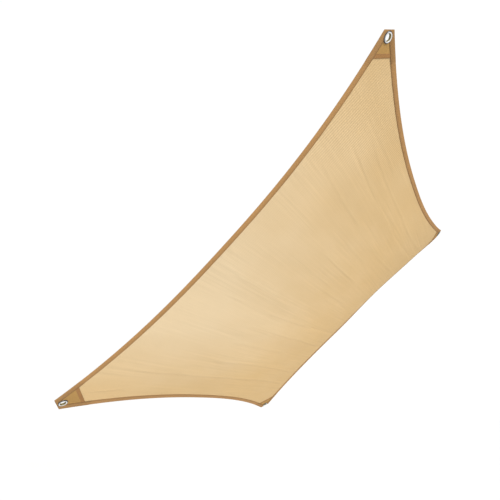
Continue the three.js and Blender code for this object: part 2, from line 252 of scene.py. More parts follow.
class Sail:
    """The surface of the hung cloth, shaped on the sail's own plane and then pitched and placed."""

    def __init__(self, sizes):
        self.sizes = sizes
        self.turn = Matrix.Rotation(sizes.pitch, 3, "X")
        # The origin is moved from the plane's middle to midway between the two high eyelets.
        self.origin = Vector((0, 0, 0))
        high = [self.corner(name)["seat"].translation for name in ("high_right", "high_left")]
        self.origin = (high[0] + high[1]) / 2

    def half_level(self, up):
        return self.sizes.level_edge / 2 - self.sizes.sloping_hollow * bow(up, SLOPING_ROUNDNESS)

    def half_slope(self, across):
        return self.sizes.sloping_edge / 2 - self.sizes.level_hollow * bow(across, LEVEL_ROUNDNESS)

    def plan(self, up, across):
        """Where a place on the cloth lies on the sail's plane."""
        level = (1 - 2 * across) * self.half_level(up)
        slope = (2 * up - 1) * self.half_slope(across)
        return np.stack([level, slope], -1)

    def place_of(self, point):
        """The reverse: up and across at points of the plane, closed in on from the middle."""
        up = across = np.full(len(point), 0.5)
        for _ in range(PLACE_STEPS):
            across = (1 - point[:, 0] / self.half_level(up)) / 2
            up = (1 + point[:, 1] / self.half_slope(across)) / 2
        return up, across

    def lift(self, up, across, slope, creased):
        """Height of the cloth off the sail's plane."""
        sizes = self.sizes
        height = -sizes.belly * bow(up, 2) * bow(across, 2)
        height -= HIGH_EDGE_SAG * up * bow(across, 2) + LEFT_EDGE_SAG * across * bow(up, 2)
        from_left = (1 - across) * sizes.level_edge
        from_high = (1 - up) * sizes.sloping_edge
        curved = ROLL["width"] - ROLL["straight"]
        rise = np.clip(ROLL["width"] - from_left, 0, curved) ** 2 / (2 * curved)
        rise += np.maximum(0, ROLL["straight"] - from_left)
        height += ROLL["slope"] * rise * ease(*ROLL["begins"], up) * (1 - ease(*ROLL["ends"], up))
        from_corner = (from_left + from_high) * math.sqrt(0.5)
        height += TURNED_CORNER["height"] * np.maximum(0, 1 - from_corner / TURNED_CORNER["reach"]) ** 2
        for trough in TROUGHS:
            along = stretch(trough.start, trough.end, TROUGH_FADE, across)
            off = (slope - trough.up) / trough.half_width
            height -= trough.depth * along * np.exp(-(off**2))
        if creased:
            height -= self.creasing(up, across)
        return height

    def creasing(self, up, across):
        """Depth of the fine creases."""
        depth = np.zeros_like(up)
        for crease in CREASES:
            way = np.clip((crease.start - across) / (crease.start - crease.end), 0, 1)
            line = crease.up_start + (crease.up_end - crease.up_start) * way
            along = stretch(crease.end, crease.start, CREASE_FADE, across)
            off = (up - line) * self.sizes.sloping_edge / crease.half_width
            depth += crease.depth * along * np.exp(-(off**2))
        return depth

    def middle(self, up, across, creased=False):
        plan = self.plan(up, across)
        return np.column_stack([plan, self.lift(up, across, plan[:, 1], creased)])

    def points(self, up, across, height=0.0, creased=False):
        """Points off the middle of the cloth by a height along its normal, in the row frame."""
        upwards = self.middle(up + NUDGE, across) - self.middle(up - NUDGE, across)
        sideways = self.middle(up, across + NUDGE) - self.middle(up, across - NUDGE)
        normal = np.cross(upwards, sideways)
        normal /= np.linalg.norm(normal, axis=1, keepdims=True)
        place = self.middle(up, across, creased) + normal * np.reshape(height, (-1, 1))
        return self.hung(place), normal @ np.array(self.turn).T

    def hung(self, place):
        """Points of the sail's plane, pitched and placed in the row frame."""
        return place @ np.array(self.turn).T - np.array(self.origin)

    def edge_length(self, name):
        return self.sizes.sloping_edge if name in ("right", "left") else self.sizes.level_edge

    def edge(self, name, share):
        """Points along an edge, on the plane, and the way in from each."""
        begin, end = (np.array(CORNERS[corner], float) for corner in EDGES[name])

        def at(way):
            place = begin + (end - begin) * np.reshape(way, (-1, 1))
            return self.plan(place[:, 0], place[:, 1])

        along = at(share + NUDGE) - at(share - NUDGE)
        along /= np.linalg.norm(along, axis=1, keepdims=True)
        return at(share), np.column_stack([-along[:, 1], along[:, 0]])

    def leg(self, corner, distance):
        """A corner's tip, and the points of its two edges that lie a straight distance from it."""
        found = []
        for name, ends in EDGES.items():
            if corner in ends:
                points, _ = self.edge(name, LEG_PLACES if ends[0] == corner else 1 - LEG_PLACES)
                tip = points[0]
                away = np.linalg.norm(points - tip, axis=1)
                found.append(points[np.searchsorted(away, distance)])
        return tip, found

    def size(self, corner, part):
        """One of the sizes that differ between the high and the low corners."""
        return getattr(self.sizes, corner.split("_")[0] + "_" + part)

    def corner(self, name):
        """A corner's tip, its ways in and sideways on the plane, and where its cuts and eyelet lie."""
        patch_leg = self.size(name, "patch")
        tip, (one, other) = self.leg(name, patch_leg)
        inward = (one + other) / 2 - tip
        base = float(np.linalg.norm(inward))
        inward /= base
        _, (cut_end, _) = self.leg(name, self.size(name, "blunt"))
        eyelet = self.size(name, "eyelet")
        middle = tip + inward * eyelet
        points, normals = self.points(*self.place_of(np.array([middle])))
        seat = Vector((0, 0, 1)).rotation_difference(Vector(normals[0])).to_matrix().to_4x4()
        seat.translation = Vector(points[0])
        return {
            "tip": tip,
            "inward": inward,
            "sideways": np.array([-inward[1], inward[0]]),
            "patch_leg": patch_leg,
            "base": base,
            "blunt": float((cut_end - tip) @ inward),
            "eyelet": eyelet,
            "seat": seat,
        }

    def cut(self, corner, depth, sideways=False):
        """A plane through a corner, at a depth or along its middle line: a point and the normal."""
        point = self.hung(np.append(corner["tip"] + corner["inward"] * depth, 0)[None])[0]
        across = corner["sideways" if sideways else "inward"]
        return Vector(point), self.turn @ Vector((*across, 0))


# --- Shaping pieces -----------------------------------------------------------------------------


def grid(name, rows, columns):
    """A flat grid, and how far along its rows and up its columns each of its points is, from 0 to 1."""
    bpy.ops.object.select_all(action="DESELECT")
    bpy.ops.mesh.primitive_grid_add(x_subdivisions=columns, y_subdivisions=rows, size=1)
    piece = bpy.context.object
    piece.name = piece.data.name = name
    flat = np.empty(len(piece.data.vertices) * 3)
    piece.data.vertices.foreach_get("co", flat)
    along, up, _ = flat.reshape(-1, 3).T + 0.5
    return piece, along, up


def lay(piece, points, pattern):
    """Moves a piece's points, and gives it a UV map in metres that the weave follows."""
    mesh = piece.data
    mesh.vertices.foreach_set("co", points.ravel())
    corners = np.empty(len(mesh.loops), int)
    mesh.loops.foreach_get("vertex_index", corners)
    mesh.uv_layers.active.data.foreach_set("uv", pattern[corners].ravel())
    mesh.update()


def record(piece, name, values):
    """Keeps a number for each point of a piece, for its finish to read."""
    piece.data.attributes.new(name, "FLOAT", "POINT").data.foreach_set("value", values)


@contextmanager
def editing(piece):
    """Edit mode on a piece."""
    bpy.context.view_layer.objects.active = piece
    bpy.ops.object.mode_set(mode="EDIT")
    yield
    bpy.ops.object.mode_set(mode="OBJECT")


def trim(piece, plane, keep_outer):
    """Cuts off what lies on one side of a plane."""
    point, normal = plane
    with editing(piece):
        bpy.ops.mesh.select_all(action="SELECT")
        bpy.ops.mesh.bisect(
            plane_co=point,
            plane_no=normal,
            clear_inner=keep_outer,
            clear_outer=not keep_outer,
            threshold=TOUCHING,
        )


def open_hole(piece, seat, radius):
    """Takes out the faces that lie within a radius of an eyelet's axis."""
    mesh = piece.data
    back = seat.inverted()
    inside = [(back @ face.center).to_2d().length < radius for face in mesh.polygons]
    mesh.vertices.foreach_set("select", [False] * len(mesh.vertices))
    mesh.edges.foreach_set("select", [False] * len(mesh.edges))
    mesh.polygons.foreach_set("select", inside)
    with editing(piece):
        bpy.ops.mesh.select_mode(type="FACE")
        bpy.ops.mesh.delete(type="FACE")


def thicken(piece, thickness):
    """Makes a sheet a closed solid, half its thickness to each side."""
    bpy.context.view_layer.objects.active = piece
    solidify = piece.modifiers.new("Thickness", "SOLIDIFY")
    solidify.thickness = thickness
    solidify.offset = 0
    bpy.ops.object.modifier_apply(modifier=solidify.name)
    piece.data.polygons.foreach_set("use_smooth", [True] * len(piece.data.polygons))


def join(pieces, name):
    """Joins pieces into one."""
    bpy.ops.object.select_all(action="DESELECT")
    for piece in pieces:
        piece.select_set(True)
    joined = pieces[0]
    bpy.context.view_layer.objects.active = joined
    bpy.ops.object.join()
    joined.name = joined.data.name = name
    return joined


def fit(piece, material, slot, *nodes):
    """Finishes a piece and hangs it on the frame in place of its plain nodes."""
    piece.data.materials.clear()
    piece.data.materials.append(material)
    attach(piece, "root")
    if nodes:
        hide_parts(*nodes)
    return piece


# --- Finishes -----------------------------------------------------------------------------------
# Places, pitches and bump distances are in metres. The other numbers weigh one layer against another.


class Value:
    """A socket of a finish's nodes that can stand in a sum."""

    def __init__(self, finish, socket):
        self.finish = finish
        self.socket = socket

    def __add__(self, other):
        return self.finish.math("ADD", self, other)

    def __sub__(self, other):
        return self.finish.math("SUBTRACT", self, other)

    def __mul__(self, other):
        return self.finish.math("MULTIPLY", self, other)

    def __rsub__(self, other):
        return self.finish.math("SUBTRACT", other, self)

    __radd__ = __add__
    __rmul__ = __mul__


class Finish:
    """A material with a Principled shader, and the nodes that vary it."""

    def __init__(self, name, **settings):
        self.material = bpy.data.materials.new(name)
        self.material.use_nodes = True
        self.tree = self.material.node_tree
        self.shader = self.tree.nodes["Principled BSDF"]
        for socket, value in settings.items():
            self.shader.inputs[self.label(socket)].default_value = value

    def node(self, kind, settings, inputs, output=0):
        """A new node, from its type, its settings, and the values or links of its sockets."""
        node = self.tree.nodes.new("ShaderNode" + kind)
        for name, value in settings.items():
            setattr(node, name, value)
        for name, value in inputs.items():
            self.feed(node.inputs[name], value)
        return Value(self, node.outputs[output])

    def feed(self, socket, value):
        if isinstance(value, Value):
            self.tree.links.new(value.socket, socket)
        else:
            socket.default_value = value

    def math(self, operation, *values):
        return self.node("Math", {"operation": operation}, dict(enumerate(values)))

    def limited(self, value, low, high):
        return self.node("Clamp", {}, {"Value": value, "Min": low, "Max": high})

    def step(self, value, start, end):
        """0 up to a start, 1 from an end on, and smooth between."""
        settings = {"interpolation_type": "SMOOTHSTEP"}
        return self.node("MapRange", settings, {"Value": value, "From Min": start, "From Max": end})

    def band(self, value, rise, fall):
        """0, then 1 after a rise and until a fall, each from a start to an end, and 0 again."""
        return self.step(value, *rise) * (1 - self.step(value, *fall))

    def flat(self):
        """Places on the piece's own UV map, in metres."""
        return self.node("TexCoord", {}, {}, "UV")

    def solid(self):
        """Places in space, in metres."""
        return self.node("TexCoord", {}, {}, "Object")

    def parts(self, vector):
        return [self.node("SeparateXYZ", {}, {"Vector": vector}, axis) for axis in "XYZ"]

    def scaled(self, vector, scale):
        return self.node("VectorMath", {"operation": "MULTIPLY"}, {0: vector, 1: scale})

    def recorded(self, name):
        """A number kept for each point of the piece."""
        return self.node("Attribute", {"attribute_name": name}, {}, "Fac")

    def noise(self, vector, scale, detail=2.0, roughness=0.5):
        """Soft lumps from 0 to 1, so many to the metre each way."""
        inputs = {"Scale": 1.0, "Detail": detail, "Roughness": roughness}
        return self.node("TexNoise", {}, {"Vector": self.scaled(vector, scale), **inputs}, "Fac")

    def ribs(self, value, pitch):
        """A row of rounded ribs along a value in metres, from 0 to 1."""
        return self.math("SINE", value * (2 * math.pi / pitch)) * 0.5 + 0.5

    def blend(self, factor, first, second, kind="MIX"):
        """Two colours mixed. A Mix node takes them in its sockets 6 and 7 and gives its third output."""
        colours = {6: self.tint(first), 7: self.tint(second)}
        settings = {"data_type": "RGBA", "blend_type": kind}
        return self.node("Mix", settings, {0: factor, **colours}, 2)

    def tint(self, value):
        return value if isinstance(value, Value) else (*value, 1.0)

    def shade(self, tone, amount):
        """A colour made darker or lighter by an amount in proportion to it."""
        grey = self.node("CombineColor", {}, {"Red": amount, "Green": amount, "Blue": amount})
        return self.blend(1.0, tone, grey, "MULTIPLY")

    def bump(self, height, distance, strength):
        return self.node("Bump", {}, {"Height": height, "Distance": distance, "Strength": strength})

    def label(self, name):
        """The name of a socket of the shader, from its name here."""
        return name.replace("_", " ").title().replace("Ior", "IOR")

    def finish(self, **inputs):
        """The finished material, with what varies over it."""
        for name, value in inputs.items():
            self.feed(self.shader.inputs[self.label(name)], value)
        return self.material


def cloth_finish(colours):
    """Woven shade cloth: fine ribs both ways, streaks along the level edges, and paler in painted light
    and darker in painted shade.
    """
    finish = Finish("cloth", specular_ior_level=0.12)
    flat = finish.flat()
    x, y, _ = finish.parts(flat)
    drift = finish.noise(flat, (3.0, 9.0, 0.0))
    groups = finish.step(finish.noise(flat, (1.9, 7.0, 0.0)), 0.38, 0.66)
    streaks = finish.noise(flat, (1.7, 72.0, 0.0), detail=4.0, roughness=0.60)
    threads = finish.noise(flat, (5.0, 420.0, 0.0), roughness=0.7)
    blotches = finish.noise(flat, (2.2, 3.4, 0.0), detail=3.0, roughness=0.55)
    creased = finish.recorded("creased")
    weft = finish.ribs(y + (drift - 0.5) * 0.004, pitch=0.0026)
    warp = finish.ribs(x + finish.noise(flat, (14.0, 3.0, 0.0)) * 0.003, pitch=0.0034)
    weave = weft * 0.6 + warp * 0.4
    # Ribs drawn up by the pull of the high right corner, and faintly all over the right-hand side.
    to_corner = x * 0.50 + y * 0.87
    strained = finish.step(to_corner, 0.74, 0.94) * (1 - finish.step(to_corner, 1.0, 1.2) * 0.4)
    strained = strained * 0.88 + finish.step(x, -0.6, 0.2) * 0.12
    pulled = finish.ribs(x + x * x * 0.22 + (drift - 0.5) * 0.008, pitch=0.0152) * strained
    # Painted light: paler most towards the right, about the middle of the slope, and brighter in two
    # places, as where light comes through the cloth.
    paled_by_light = finish.step(y, -1.05, -0.35) * (1 - finish.step(y, -0.2, 0.95) * 0.9)
    paled_by_light = paled_by_light * finish.step(x, -0.75, 0.95) + (blotches - 0.5) * 0.6
    by_edge = finish.step(x, 0.42, 0.62) * finish.band(y, (0.10, 0.45), (0.72, 0.90))
    midway = finish.step(x, -0.35, -0.05) * finish.band(y, (-0.65, -0.40), (-0.25, -0.10))
    bright_light = by_edge * 0.9 + midway * 0.8
    paled_by_light = finish.limited(paled_by_light + bright_light * 0.16, 0.0, 1.0)
    # Painted shade: darker towards the high edge and towards the left-hand one.
    far_shade = 1 - finish.step(y, -0.25, 0.95) * 0.09 - (1 - finish.step(x, -0.9, -0.2)) * 0.07
    tone = 0.96 + weave * 0.08 + (drift - 0.5) * 0.04 + (threads - 0.5) * 0.07
    # Darker along the creases and lighter along the ridges: painted shade and painted highlight.
    tone = tone + (streaks - 0.5) * (0.05 + groups * 0.24) - creased * 0.022 + bright_light * 0.05
    tone = (tone + (blotches - 0.5) * 0.06 + (pulled - strained * 0.5) * 0.22) * far_shade
    # The cloth's colour turns paler where the painted light is.
    blended = finish.blend(paled_by_light, colours.cloth[:], colours.lit_cloth[:])
    relief = weave + streaks * 2.5 * groups + threads * 0.8 + pulled * 1.5
    return finish.finish(
        base_color=finish.shade(blended, tone),
        roughness=0.80 + threads * 0.14,
        normal=finish.bump(relief, distance=0.00035, strength=0.6),
    )


def tape_finish(colours):
    """Binding tape: fine cross ribs, a pale fold, and a dark border and a sewn-down band by its lip, both
    darkened as painted shade.
    """
    finish = Finish("tape", specular_ior_level=0.15)
    flat = finish.flat()
    along, inward, _ = finish.parts(flat)
    lip = finish.recorded("from_lip")
    ribs = finish.ribs(along + inward * 0.35, pitch=0.0019)
    twill = finish.ribs(along - inward, pitch=0.0042)
    fibres = finish.noise(flat, (60.0, 700.0, 0.0), roughness=0.6)
    clouds = finish.noise(flat, (7.0, 20.0, 0.0), detail=3.0, roughness=0.6)
    sewn = finish.band(lip, (0.003, 0.004), (0.009, 0.0105))
    border = 1 - finish.step(lip, 0.0026, 0.0056)
    fold = 1 - finish.step(inward, 0.0, 0.0022)
    tone = 1.0 + (clouds - 0.5) * 0.26 + (fibres - 0.5) * 0.20 + (twill - 0.5) * 0.06
    # The sewn-down band is darker: painted shade in its groove.
    tone = tone * (0.92 + ribs * 0.12) - sewn * 0.05 + fold * 0.06
    # Darker over the patches and on the level edges' tapes: painted shade.
    tone = tone - finish.recorded("plies") * 0.15 - finish.recorded("darkened")
    # The dark border is painted shade along the lip.
    blended = finish.blend(border * 0.55, colours.tape[:], colours.tape_border[:])
    return finish.finish(
        base_color=finish.shade(blended, tone),
        roughness=0.72 + fibres * 0.18,
        normal=finish.bump(ribs + twill * 0.7 + fibres * 0.6 - sewn * 0.8, distance=0.0003, strength=0.7),
    )


def patch_finish(colours, sizes):
    """Doubled cloth: the weave of the sail on the slant, and a darker hem that is turned under."""
    finish = Finish("patch", specular_ior_level=0.12)
    flat = finish.flat()
    x, y, _ = finish.parts(flat)
    hem = 1 - finish.step(y, sizes.patch_hem - 0.0008, sizes.patch_hem + 0.0006)
    ridge = 1 - finish.step(y, 0.0, 0.0020)
    weft = finish.ribs(x + y, pitch=0.0032)
    warp = finish.ribs(x - y, pitch=0.0030)
    weave = weft * 0.5 + warp * 0.5
    clouds = finish.noise(flat, (22.0, 14.0, 0.0), detail=3.0, roughness=0.6)
    fibres = finish.noise(flat, (240.0, 190.0, 0.0), roughness=0.6)
    tone = 1.0 + (clouds - 0.5) * 0.26 + (fibres - 0.5) * 0.16 + (weave - 0.5) * 0.14 - ridge * 0.16
    blended = finish.blend(hem, colours.patch[:], colours.patch_hem[:])
    return finish.finish(
        base_color=finish.shade(blended, tone),
        roughness=0.76 + fibres * 0.16,
        normal=finish.bump(weave + clouds * 1.2 + fibres * 0.4, distance=0.0004, strength=0.7),
    )


def thread_finish(colours):
    """Twisted sewing thread."""
    finish = Finish("thread", sheen_weight=0.1, specular_ior_level=0.35)
    place = finish.solid()
    x, y, z = finish.parts(place)
    twist = finish.ribs(x + y * 0.6 + z * 0.8, pitch=0.0006)
    fuzz = finish.noise(place, (900.0, 900.0, 900.0), roughness=0.6)
    return finish.finish(
        base_color=finish.shade(colours.thread[:], 0.85 + twist * 0.2 + fuzz * 0.15),
        roughness=0.55 + fuzz * 0.2,
        normal=finish.bump(twist + fuzz * 0.5, distance=0.0001, strength=0.6),
    )


def metal_finish(colours):
    """Bright plating with fine turning marks, darker and browner in its bore as painted shade, and with
    painted shade and dark reflection at its rim.
    """
    finish = Finish("eyelet_metal", metallic=1.0)
    radius = finish.parts(finish.flat())[0]
    place = finish.solid()
    grain = finish.noise(place, (900.0, 900.0, 900.0), roughness=0.6)
    marks = finish.ribs(radius, pitch=0.0007) * grain
    dull = finish.noise(place, (240.0, 240.0, 240.0), detail=3.0, roughness=0.6)
    # The dark rim and the darker bore are painted shade, with a painted dark reflection at the rim.
    rim = finish.step(radius, 0.0157, 0.0174)
    bore = 1 - finish.step(radius, 0.0122, 0.0134)
    dark_rim = finish.limited(rim * (0.80 + dull * 0.3), 0.0, 1.0)
    bright = finish.shade(colours.metal[:], 0.92 + marks * 0.10 - dull * 0.12)
    plated = finish.blend(dark_rim, bright, colours.dark_rim[:])
    return finish.finish(
        base_color=finish.blend(bore, plated, colours.bore[:]),
        roughness=0.16 + dull * 0.18 + marks * 0.06 + dark_rim * 0.15 + bore * 0.30,
        normal=finish.bump(marks + dull, distance=0.00004, strength=0.4),
    )


def floor_finish(colours):
    """A plain pale floor, hardly uneven."""
    finish = Finish("pale_floor", specular_ior_level=0.2)
    soft = finish.noise(finish.solid(), (1.3, 1.3, 1.3), detail=3.0)
    tone = finish.shade(colours.floor[:], 0.985 + soft * 0.03)
    return finish.finish(base_color=tone, roughness=0.7 + soft * 0.1)


# --- The pieces ---------------------------------------------------------------------------------

# The finished pieces, by what they are.
made = {}

# The underside and the upper side, as ways along the cloth's normal.
FACES = (-1, 1)
# Radii of the holes that are cut for the eyelets and hidden by their flanges.
HOLES = {"tape": 0.0150, "patch": 0.0145}
# The cloth: rows up the slope and columns across, how far it stays inside the tapes' folds, how far
# it reaches in between the patches' plies, and the share of its thickness that it is thinned to, so
# that it clears them.
CLOTH = {"rows": 420, "columns": 76, "inset": 0.0015, "lap": 0.022, "thinned": 0.8}


class SHADESAIL_OT_cloth(bpy.types.Operator):
    """Adds the stretched cloth, cut off under the corner patches"""

    bl_idname = "shade_sail.cloth"
    bl_label = "Cloth"

    def execute(self, context):
        sizes = context.scene.shade_sail_sizes
        sail = Sail(sizes)
        piece, level, up = grid("sail_cloth", CLOTH["rows"], CLOTH["columns"])
        inset_up = CLOTH["inset"] / sizes.sloping_edge
        inset_across = CLOTH["inset"] / sizes.level_edge
        up = np.clip(up, inset_up, 1 - inset_up)
        across = np.clip(1 - level, inset_across, 1 - inset_across)
        points, _ = sail.points(up, across, creased=True)
        lay(piece, points, sail.plan(up, across))
        # How deep the creases are, which the cloth's finish turns into painted shade.
        record(piece, "creased", sail.creasing(up, across) / MM)
        for name in CORNERS:
            corner = sail.corner(name)
            trim(piece, sail.cut(corner, corner["base"] - CLOTH["lap"]), keep_outer=True)
        thicken(piece, sizes.cloth_thickness * CLOTH["thinned"])
        made["cloth"] = fit(piece, cloth_finish(context.scene.shade_sail_colours), "cloth", "sail_panel")
        return {"FINISHED"}


# Lines along half of a folded tape, as shares of the way from its fold to a lip, and how far apart
# the lines across it are.
TAPE_LINES = (0, 0.02, 0.045, 0.075, 0.13, 0.24, 0.38, 0.52, 0.66, 0.78, 0.88, 0.95, 1)
TAPE_STEP = 0.0075
# How much further in a tape reaches on the underside than its half width, where its fold runs off
# its middle. It reaches as much less far in on top.
OFF_MIDDLE = {"right": -0.0028, "high": -0.0018, "left": 0.0, "low": 0.0028}
# How much darker each tape is painted, as a share of its tone: painted shade, most on the high edge's
# tape.
TAPE_SHADE = {"right": 0.0, "high": 0.08, "left": 0.0, "low": 0.03}
# A tape's gap to the cloth, how much higher it lies over a patch, and the distances past the patch's
# base between which it comes down.
TAPE_LIE = {"gap": 0.0001, "patch": 0.0013, "descent": (-0.004, 0.014)}
# The tapes' waves, where the stitching gathers them: the pitches with their sizes, a number that
# shuffles them, how far they lift a tape and shift it inwards, and how far in each of these begins.
TAPE_WAVES = {0.021: 1.0, 0.034: 1.3, 0.071: 1.8, 0.190: 1.6}
SHUFFLE = 97
WAVE_LIFT = {"amount": 0.00022, "begins": 0.010}
WAVE_SHIFT = {"amount": 0.00045, "begins": 0.020}


def on_patch(sail, edge, share):
    """1 where an edge's tape lies over a patch, and 0 where it lies on the cloth."""
    edge_length = sail.edge_length(edge)
    begin, end = (sail.size(corner, "patch") for corner in EDGES[edge])
    past_patch = np.where(share < 0.5, share * edge_length - begin, (1 - share) * edge_length - end)
    return 1 - ease(*TAPE_LIE["descent"], past_patch)


def tape_height(sail, edge, share):
    """Middle of the tape above the middle of the cloth: more where it runs over a patch."""
    on_cloth = 0.5 * (sail.sizes.cloth_thickness + sail.sizes.tape_thickness) + TAPE_LIE["gap"]
    return on_cloth + TAPE_LIE["patch"] * on_patch(sail, edge, share)


def on_tape(sail, edge, share, inward, height):
    """Points at shares of an edge, distances in from it and heights off the cloth, and normals."""
    outer, way = sail.edge(edge, share)
    up, across = sail.place_of(outer + way * np.reshape(inward, (-1, 1)))
    return sail.points(up, across, height)


def folded(sail, edge, share, run):
    """Distances in and heights of points of the tape, from their ways around its fold in metres."""
    radius = tape_height(sail, edge, share)
    bend = np.clip(np.abs(run) / radius, 0, math.pi / 2)
    flat_run = np.maximum(0, np.abs(run) - radius * math.pi / 2)
    return radius * (1 - np.cos(bend)) + flat_run, np.sign(run) * radius * np.sin(bend)


def pucker(edge, share, edge_length):
    """A tape's slight unevenness along its run, from -1 to 1 and different for each edge."""
    seed = sum(map(ord, edge))
    along = share * edge_length
    waves = [
        size * np.sin(2 * math.pi * along / pitch + seed * pitch * SHUFFLE)
        for pitch, size in TAPE_WAVES.items()
    ]
    return sum(waves) / sum(TAPE_WAVES.values())


class SHADESAIL_OT_tapes(bpy.types.Operator):
    """Adds the binding tapes, folded over the edges and mitred at the corners"""

    bl_idname = "shade_sail.tapes"
    bl_label = "Binding tapes"

    def execute(self, context):
        sizes = context.scene.shade_sail_sizes
        sail = Sail(sizes)
        material = tape_finish(context.scene.shade_sail_colours)
        lines = [-share for share in reversed(TAPE_LINES[1:])] + list(TAPE_LINES)
        for edge, ends in EDGES.items():
            edge_length = sail.edge_length(edge)
            piece, share, side = grid(f"tape_{edge}", len(lines) - 1, round(edge_length / TAPE_STEP))
            run = np.interp(side * (len(lines) - 1), range(len(lines)), lines)
            radius = tape_height(sail, edge, share)
            reach = sizes.tape_width - np.sign(run) * OFF_MIDDLE[edge]
            run = run * (reach + radius * (math.pi / 2 - 1))
            inward, height = folded(sail, edge, share, run)
            wave = pucker(edge, share, edge_length)
            lifted = WAVE_LIFT["amount"] * wave * ease(WAVE_LIFT["begins"], sizes.tape_width, inward)
            shifted = WAVE_SHIFT["amount"] * wave * ease(WAVE_SHIFT["begins"], sizes.tape_width, inward)
            height = height + np.sign(height) * lifted
            inward = inward + shifted
            points, _ = on_tape(sail, edge, share, inward, height)
            lay(piece, points, np.column_stack([share * edge_length, inward]))
            # Where the tape lies over a patch, which its finish darkens as painted shade.
            record(piece, "plies", on_patch(sail, edge, share))
            record(piece, "from_lip", reach - inward)
            record(piece, "darkened", np.full(len(share), TAPE_SHADE[edge]))
            for name in ends:
                corner = sail.corner(name)
                trim(piece, sail.cut(corner, 0, sideways=True), keep_outer=name == ends[1])
                trim(piece, sail.cut(corner, corner["blunt"]), keep_outer=True)
                open_hole(piece, corner["seat"], HOLES["tape"])
            thicken(piece, sizes.tape_thickness)
            made[f"tape_{edge}"] = fit(piece, material, "tape", f"binding_{edge}")
        return {"FINISHED"}


# A patch's ply: lines each way over it, how far past its legs it reaches before it is cut off at its
# base, how far it stays inside the tapes' folds, its thickness, the height of its middle over the
# cloth's face, and how much more its hem has, up to where that eases out round the hem's edge.
PLY = {
    "lines": 60,
    "reach": 1.08,
    "inset": 0.0016,
    "thickness": 0.0009,
    "height": 0.0006,
    "hem": 0.00045,
    "hem_edge": (-0.001, 0.002),
}


class SHADESAIL_OT_patches(bpy.types.Operator):
    """Adds a doubled patch to both faces of each corner, with its hem turned under"""

    bl_idname = "shade_sail.patches"
    bl_label = "Corner patches"

    def execute(self, context):
        sizes = context.scene.shade_sail_sizes
        sail = Sail(sizes)
        material = patch_finish(context.scene.shade_sail_colours, sizes)
        for name in CORNERS:
            corner = sail.corner(name)
            faces = [self.face(sail, name, corner, side) for side in FACES]
            piece = join(faces, f"corner_patch_{name}")
            made[f"patch_{name}"] = fit(piece, material, "patch", f"patch_{name}")
        return {"FINISHED"}

    def face(self, sail, name, corner, side):
        """The ply on one face of a corner."""
        sizes = sail.sizes
        piece, level, slope = grid("patch_face", PLY["lines"], PLY["lines"])
        up_end, across_end = CORNERS[name]
        reach = corner["patch_leg"] * PLY["reach"]
        near_up = (1 - slope if up_end else slope) * (reach / sizes.sloping_edge)
        near_across = (level if across_end else 1 - level) * (reach / sizes.level_edge)
        near_up = np.maximum(near_up, PLY["inset"] / sizes.sloping_edge)
        near_across = np.maximum(near_across, PLY["inset"] / sizes.level_edge)
        up = 1 - near_up if up_end else near_up
        across = 1 - near_across if across_end else near_across
        plan = sail.plan(up, across) - corner["tip"]
        from_base = corner["base"] - plan @ corner["inward"]
        hem_start, hem_end = (sizes.patch_hem + past for past in PLY["hem_edge"])
        hem = PLY["hem"] * (1 - ease(hem_start, hem_end, from_base))
        height = 0.5 * sizes.cloth_thickness + PLY["height"] + hem
        points, _ = sail.points(up, across, side * height)
        lay(piece, points, np.column_stack([plan @ corner["sideways"], from_base]))
        trim(piece, sail.cut(corner, corner["base"]), keep_outer=False)
        trim(piece, sail.cut(corner, corner["blunt"]), keep_outer=True)
        open_hole(piece, corner["seat"], HOLES["patch"])
        thicken(piece, PLY["thickness"])
        return piece


# Sewn rows: on the tapes, as distances from the lip of the narrower face, and on the patches, from
# the base.
TAPE_ROWS = (0.0035, 0.0095)
PATCH_ROWS = (0.0025, 0.0125)
# A stitch: half its length as a share of the pitch, half its width and half its height.
STITCH = {"length": 0.40, "width": 0.00038, "height": 0.00030}
# How far the tapes' rows keep from the mitres, and from the cut ends and the eyelets' flanges.
CLEAR_OF = {"mitre": 0.001, "metal": 0.003}
# The patches' rows lie this high over the cloth's faces. They end under the tapes, this far short
# of the edges, which leave a corner's tip at this angle to its middle line.
PATCH_ROW = {"height": 0.0015, "short": 0.018, "angle": math.radians(27)}


def thread_stitch(pitch):
    """One stitch, lying along X and bulging towards Z."""
    bpy.ops.object.select_all(action="DESELECT")
    bpy.ops.mesh.primitive_uv_sphere_add(segments=5, ring_count=3, radius=1)
    stitch = bpy.context.object
    size = (pitch * STITCH["length"], STITCH["width"], STITCH["height"])
    with editing(stitch):
        bpy.ops.mesh.select_all(action="SELECT")
        bpy.ops.transform.rotate(value=math.pi / 2, orient_axis="Y", center_override=(0, 0, 0))
        bpy.ops.transform.resize(value=size, center_override=(0, 0, 0))
    return stitch


def sewn_row(stitch, middles, ways, normals):
    """Copies of a stitch in a row, each at its middle, along its way and bulging along its normal."""
    bpy.ops.object.select_all(action="DESELECT")
    row = stitch.copy()
    row.data = stitch.data.copy()
    bpy.context.collection.objects.link(row)
    bpy.context.view_layer.objects.active = row
    body = np.array([vertex.co for vertex in row.data.vertices])
    repeat = row.modifiers.new("Repeat", "ARRAY")
    repeat.count = len(middles)
    bpy.ops.object.modifier_apply(modifier=repeat.name)
    across = np.cross(normals, ways)
    points = middles[:, None] + body[:, :1] * ways[:, None] + body[:, 1:2] * across[:, None]
    points = points + body[:, 2:] * normals[:, None]
    row.data.vertices.foreach_set("co", points.ravel())
    row.data.polygons.foreach_set("use_smooth", [True] * len(row.data.polygons))
    row.data.update()
    return row


